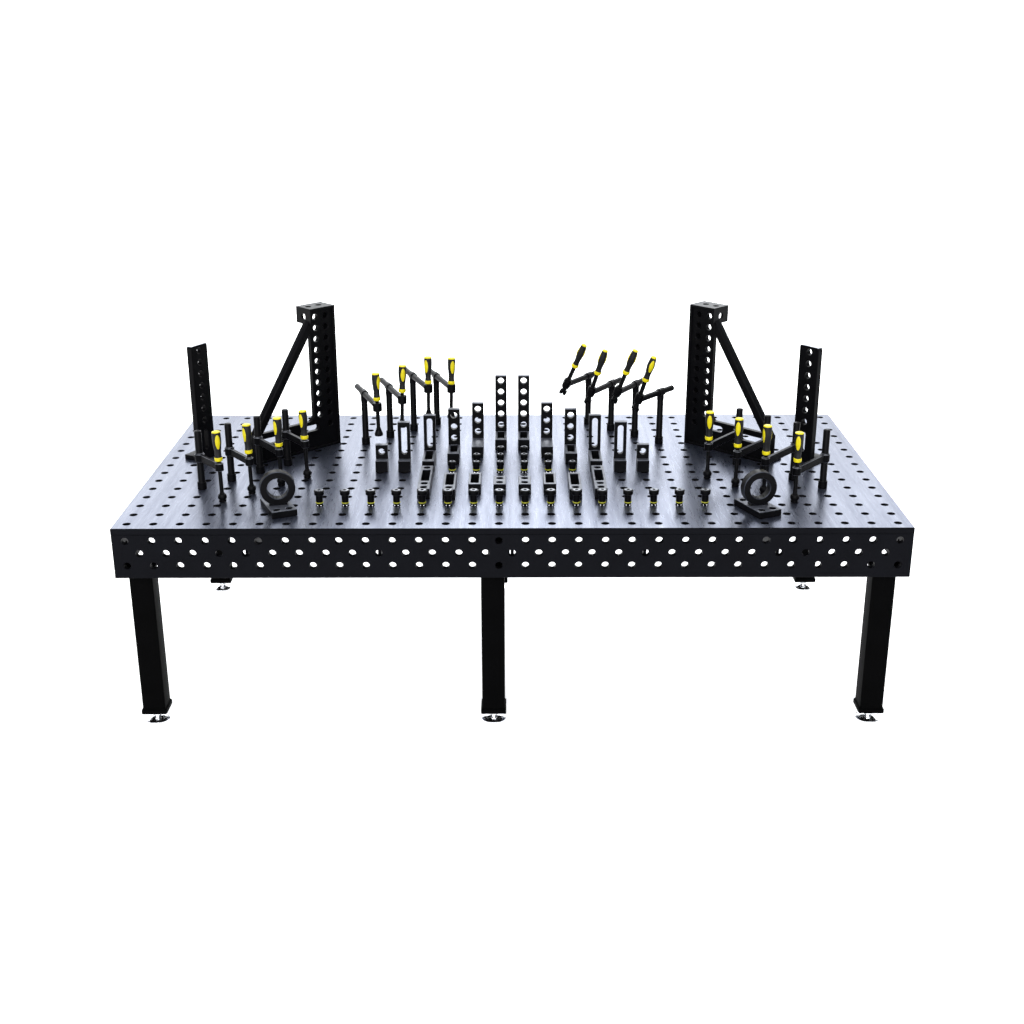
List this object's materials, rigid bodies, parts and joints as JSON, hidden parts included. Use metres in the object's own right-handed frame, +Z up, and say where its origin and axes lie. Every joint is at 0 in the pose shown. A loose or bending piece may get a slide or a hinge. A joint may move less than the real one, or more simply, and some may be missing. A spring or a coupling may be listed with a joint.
{
  "type": "welding table",
  "caption": "Perforated steel welding table on levelled legs, with screw clamps, braced angle brackets and tall stops standing in its bore grid.",
  "frame": {"origin": "on the floor, under the middle of the table top", "axes": "+X along the table's length to the operator's right, -Y towards the operator, +Z up"},
  "size_m": [3, 1.5, 1.4703],
  "materials": {
    "satin_steel": "ground and oiled, satin",
    "black_steel": "nitrided, satin black",
    "chrome": "polished",
    "handle_rubber": "matt black grip with a yellow cap"
  },
  "bodies": {
    "root": {"top_plate": "satin_steel", "front_wall": "black_steel", "back_wall": "black_steel", "left_wall": "black_steel", "right_wall": "black_steel", "cross_rib_1": "black_steel", "cross_rib_2": "black_steel", "cross_rib_3": "black_steel", "cross_rib_4": "black_steel", "cross_rib_5": "black_steel", "leg_front_left": "black_steel", "leg_front_middle": "black_steel", "leg_front_right": "black_steel", "leg_back_left": "black_steel", "leg_back_middle": "black_steel", "leg_back_right": "black_steel", "angle_bracket_left": "black_steel", "angle_bracket_right": "black_steel", "tall_stop_left": "black_steel", "tall_stop_right": "black_steel"},
    "foot_front_left": {"foot_front_left": "chrome"},
    "foot_front_middle": {"foot_front_middle": "chrome"},
    "foot_front_right": {"foot_front_right": "chrome"},
    "foot_back_left": {"foot_back_left": "chrome"},
    "foot_back_middle": {"foot_back_middle": "chrome"},
    "foot_back_right": {"foot_back_right": "chrome"},
    "bar_clamp_left_1": {"bar_clamp_left_1_frame": "black_steel"},
    "bar_clamp_left_1_screw": {"bar_clamp_left_1_spindle": "handle_rubber"},
    "bar_clamp_left_2": {"bar_clamp_left_2_frame": "black_steel"},
    "bar_clamp_left_2_screw": {"bar_clamp_left_2_spindle": "handle_rubber"},
    "bar_clamp_left_3": {"bar_clamp_left_3_frame": "black_steel"},
    "bar_clamp_left_3_screw": {"bar_clamp_left_3_spindle": "handle_rubber"},
    "bar_clamp_left_4": {"bar_clamp_left_4_frame": "black_steel"},
    "bar_clamp_left_4_screw": {"bar_clamp_left_4_spindle": "handle_rubber"},
    "bar_clamp_right_1": {"bar_clamp_right_1_frame": "black_steel"},
    "bar_clamp_right_1_screw": {"bar_clamp_right_1_spindle": "handle_rubber"},
    "bar_clamp_right_2": {"bar_clamp_right_2_frame": "black_steel"},
    "bar_clamp_right_2_screw": {"bar_clamp_right_2_spindle": "handle_rubber"},
    "bar_clamp_right_3": {"bar_clamp_right_3_frame": "black_steel"},
    "bar_clamp_right_3_screw": {"bar_clamp_right_3_spindle": "handle_rubber"},
    "bar_clamp_right_4": {"bar_clamp_right_4_frame": "black_steel"},
    "bar_clamp_right_4_screw": {"bar_clamp_right_4_spindle": "handle_rubber"},
    "tube_clamp_left_1": {"tube_clamp_left_1_frame": "black_steel"},
    "tube_clamp_left_1_screw": {"tube_clamp_left_1_spindle": "handle_rubber"},
    "tube_clamp_left_2": {"tube_clamp_left_2_frame": "black_steel"},
    "tube_clamp_left_2_screw": {"tube_clamp_left_2_spindle": "handle_rubber"},
    "tube_clamp_left_3": {"tube_clamp_left_3_frame": "black_steel"},
    "tube_clamp_left_3_screw": {"tube_clamp_left_3_spindle": "handle_rubber"},
    "tube_clamp_left_4": {"tube_clamp_left_4_frame": "black_steel"},
    "tube_clamp_left_4_screw": {"tube_clamp_left_4_spindle": "handle_rubber"},
    "tube_clamp_right_1": {"tube_clamp_right_1_frame": "black_steel"},
    "tube_clamp_right_1_screw": {"tube_clamp_right_1_spindle": "handle_rubber"},
    "tube_clamp_right_2": {"tube_clamp_right_2_frame": "black_steel"},
    "tube_clamp_right_2_screw": {"tube_clamp_right_2_spindle": "handle_rubber"},
    "tube_clamp_right_3": {"tube_clamp_right_3_frame": "black_steel"},
    "tube_clamp_right_3_screw": {"tube_clamp_right_3_spindle": "handle_rubber"},
    "tube_clamp_right_4": {"tube_clamp_right_4_frame": "black_steel"},
    "tube_clamp_right_4_screw": {"tube_clamp_right_4_spindle": "handle_rubber"}
  },
  "joints": [
    {"name": "foot_front_left_level", "type": "slide", "parent": "root", "child": "foot_front_left", "axis": [0, 0, 1], "range_m": [-0.03, 0.003]},
    {"name": "foot_front_middle_level", "type": "slide", "parent": "root", "child": "foot_front_middle", "axis": [0, 0, 1], "range_m": [-0.03, 0.003]},
    {"name": "foot_front_right_level", "type": "slide", "parent": "root", "child": "foot_front_right", "axis": [0, 0, 1], "range_m": [-0.03, 0.003]},
    {"name": "foot_back_left_level", "type": "slide", "parent": "root", "child": "foot_back_left", "axis": [0, 0, 1], "range_m": [-0.03, 0.003]},
    {"name": "foot_back_middle_level", "type": "slide", "parent": "root", "child": "foot_back_middle", "axis": [0, 0, 1], "range_m": [-0.03, 0.003]},
    {"name": "foot_back_right_level", "type": "slide", "parent": "root", "child": "foot_back_right", "axis": [0, 0, 1], "range_m": [-0.03, 0.003]},
    {"name": "bar_clamp_left_1_swivel", "type": "hinge", "parent": "root", "child": "bar_clamp_left_1", "pos_m": [-1.25, -0.3, 0.85], "axis": [0, 0, 1], "range_deg": [-22, 22]},
    {"name": "bar_clamp_left_1_screw_travel", "type": "slide", "parent": "bar_clamp_left_1", "child": "bar_clamp_left_1_screw", "axis": [-0.0308, 0.0423, 0.9986], "range_m": [-0.0015, 0.072]},
    {"name": "bar_clamp_left_2_swivel", "type": "hinge", "parent": "root", "child": "bar_clamp_left_2", "pos_m": [-1.15, -0.2, 0.85], "axis": [0, 0, 1], "range_deg": [-22, 22]},
    {"name": "bar_clamp_left_2_screw_travel", "type": "slide", "parent": "bar_clamp_left_2", "child": "bar_clamp_left_2_screw", "axis": [-0.02, 0.0286, 0.9994], "range_m": [-0.0015, 0.072]},
    {"name": "bar_clamp_left_3_swivel", "type": "hinge", "parent": "root", "child": "bar_clamp_left_3", "pos_m": [-1.05, -0.1, 0.85], "axis": [0, 0, 1], "range_deg": [-22, 22]},
    {"name": "bar_clamp_left_3_screw_travel", "type": "slide", "parent": "bar_clamp_left_3", "child": "bar_clamp_left_3_screw", "axis": [-0.005, 0.0071, 1], "range_m": [-0.0015, 0.072]},
    {"name": "bar_clamp_left_4_swivel", "type": "hinge", "parent": "root", "child": "bar_clamp_left_4", "pos_m": [-0.95, 0, 0.85], "axis": [0, 0, 1], "range_deg": [-22, 22]},
    {"name": "bar_clamp_left_4_screw_travel", "type": "slide", "parent": "bar_clamp_left_4", "child": "bar_clamp_left_4_screw", "axis": [-0.0277, 0.0444, 0.9986], "range_m": [-0.0015, 0.072]},
    {"name": "bar_clamp_right_1_swivel", "type": "hinge", "parent": "root", "child": "bar_clamp_right_1", "pos_m": [1.25, -0.3, 0.85], "axis": [0, 0, 1], "range_deg": [-22, 22]},
    {"name": "bar_clamp_right_1_screw_travel", "type": "slide", "parent": "bar_clamp_right_1", "child": "bar_clamp_right_1_screw", "axis": [0.0056, 0.0067, 1], "range_m": [-0.0015, 0.072]},
    {"name": "bar_clamp_right_2_swivel", "type": "hinge", "parent": "root", "child": "bar_clamp_right_2", "pos_m": [1.15, -0.2, 0.85], "axis": [0, 0, 1], "range_deg": [-22, 22]},
    {"name": "bar_clamp_right_2_screw_travel", "type": "slide", "parent": "bar_clamp_right_2", "child": "bar_clamp_right_2_screw", "axis": [0, 0, 1], "range_m": [-0.0015, 0.072]},
    {"name": "bar_clamp_right_3_swivel", "type": "hinge", "parent": "root", "child": "bar_clamp_right_3", "pos_m": [1.05, -0.1, 0.85], "axis": [0, 0, 1], "range_deg": [-22, 22]},
    {"name": "bar_clamp_right_3_screw_travel", "type": "slide", "parent": "bar_clamp_right_3", "child": "bar_clamp_right_3_screw", "axis": [0.0055, 0.0068, 1], "range_m": [-0.0015, 0.072]},
    {"name": "bar_clamp_right_4_swivel", "type": "hinge", "parent": "root", "child": "bar_clamp_right_4", "pos_m": [0.95, 0, 0.85], "axis": [0, 0, 1], "range_deg": [-22, 22]},
    {"name": "bar_clamp_right_4_screw_travel", "type": "slide", "parent": "bar_clamp_right_4", "child": "bar_clamp_right_4_screw", "axis": [-0.0055, -0.0068, 1], "range_m": [-0.0015, 0.072]},
    {"name": "tube_clamp_left_1_swivel", "type": "hinge", "parent": "root", "child": "tube_clamp_left_1", "pos_m": [-0.65, 0.3, 0.85], "axis": [0, 0, 1], "range_deg": [-22, 22]},
    {"name": "tube_clamp_left_1_screw_travel", "type": "slide", "parent": "tube_clamp_left_1", "child": "tube_clamp_left_1_screw", "axis": [-0.0164, -0.006, 0.9998], "range_m": [-0.0098, 0.06]},
    {"name": "tube_clamp_left_2_swivel", "type": "hinge", "parent": "root", "child": "tube_clamp_left_2", "pos_m": [-0.55, 0.4, 0.85], "axis": [0, 0, 1], "range_deg": [-22, 22]},
    {"name": "tube_clamp_left_2_screw_travel", "type": "slide", "parent": "tube_clamp_left_2", "child": "tube_clamp_left_2_screw", "axis": [0.0328, 0.0119, 0.9994], "range_m": [-0.012, 0.06]},
    {"name": "tube_clamp_left_3_swivel", "type": "hinge", "parent": "root", "child": "tube_clamp_left_3", "pos_m": [-0.45, 0.5, 0.85], "axis": [0, 0, 1], "range_deg": [-22, 22]},
    {"name": "tube_clamp_left_3_screw_travel", "type": "slide", "parent": "tube_clamp_left_3", "child": "tube_clamp_left_3_screw", "axis": [0.0081, 0.0031, 1], "range_m": [-0.0028, 0.06]},
    {"name": "tube_clamp_left_4_swivel", "type": "hinge", "parent": "root", "child": "tube_clamp_left_4", "pos_m": [-0.35, 0.6, 0.85], "axis": [0, 0, 1], "range_deg": [-22, 22]},
    {"name": "tube_clamp_left_4_screw_travel", "type": "slide", "parent": "tube_clamp_left_4", "child": "tube_clamp_left_4_screw", "axis": [0.0246, 0.009, 0.9997], "range_m": [-0.0008, 0.06]},
    {"name": "tube_clamp_right_1_swivel", "type": "hinge", "parent": "root", "child": "tube_clamp_right_1", "pos_m": [0.65, 0.3, 0.85], "axis": [0, 0, 1], "range_deg": [-22, 22]},
    {"name": "tube_clamp_right_1_screw_travel", "type": "slide", "parent": "tube_clamp_right_1", "child": "tube_clamp_right_1_screw", "axis": [0.262, -0.2198, 0.9397], "range_m": [-0.063, 0.006]},
    {"name": "tube_clamp_right_2_swivel", "type": "hinge", "parent": "root", "child": "tube_clamp_right_2", "pos_m": [0.55, 0.4, 0.85], "axis": [0, 0, 1], "range_deg": [-22, 22]},
    {"name": "tube_clamp_right_2_screw_travel", "type": "slide", "parent": "tube_clamp_right_2", "child": "tube_clamp_right_2_screw", "axis": [0.3245, -0.2028, 0.9239], "range_m": [-0.066, 0.003]},
    {"name": "tube_clamp_right_3_swivel", "type": "hinge", "parent": "root", "child": "tube_clamp_right_3", "pos_m": [0.45, 0.5, 0.85], "axis": [0, 0, 1], "range_deg": [-22, 22]},
    {"name": "tube_clamp_right_3_screw_travel", "type": "slide", "parent": "tube_clamp_right_3", "child": "tube_clamp_right_3_screw", "axis": [0.273, -0.1773, 0.9455], "range_m": [-0.063, 0.006]},
    {"name": "tube_clamp_right_4_swivel", "type": "hinge", "parent": "root", "child": "tube_clamp_right_4", "pos_m": [0.35, 0.6, 0.85], "axis": [0, 0, 1], "range_deg": [-22, 22]},
    {"name": "tube_clamp_right_4_screw_travel", "type": "slide", "parent": "tube_clamp_right_4", "child": "tube_clamp_right_4_screw", "axis": [0.3527, -0.2469, 0.9026], "range_m": [-0.066, 0.003]}
  ]
}
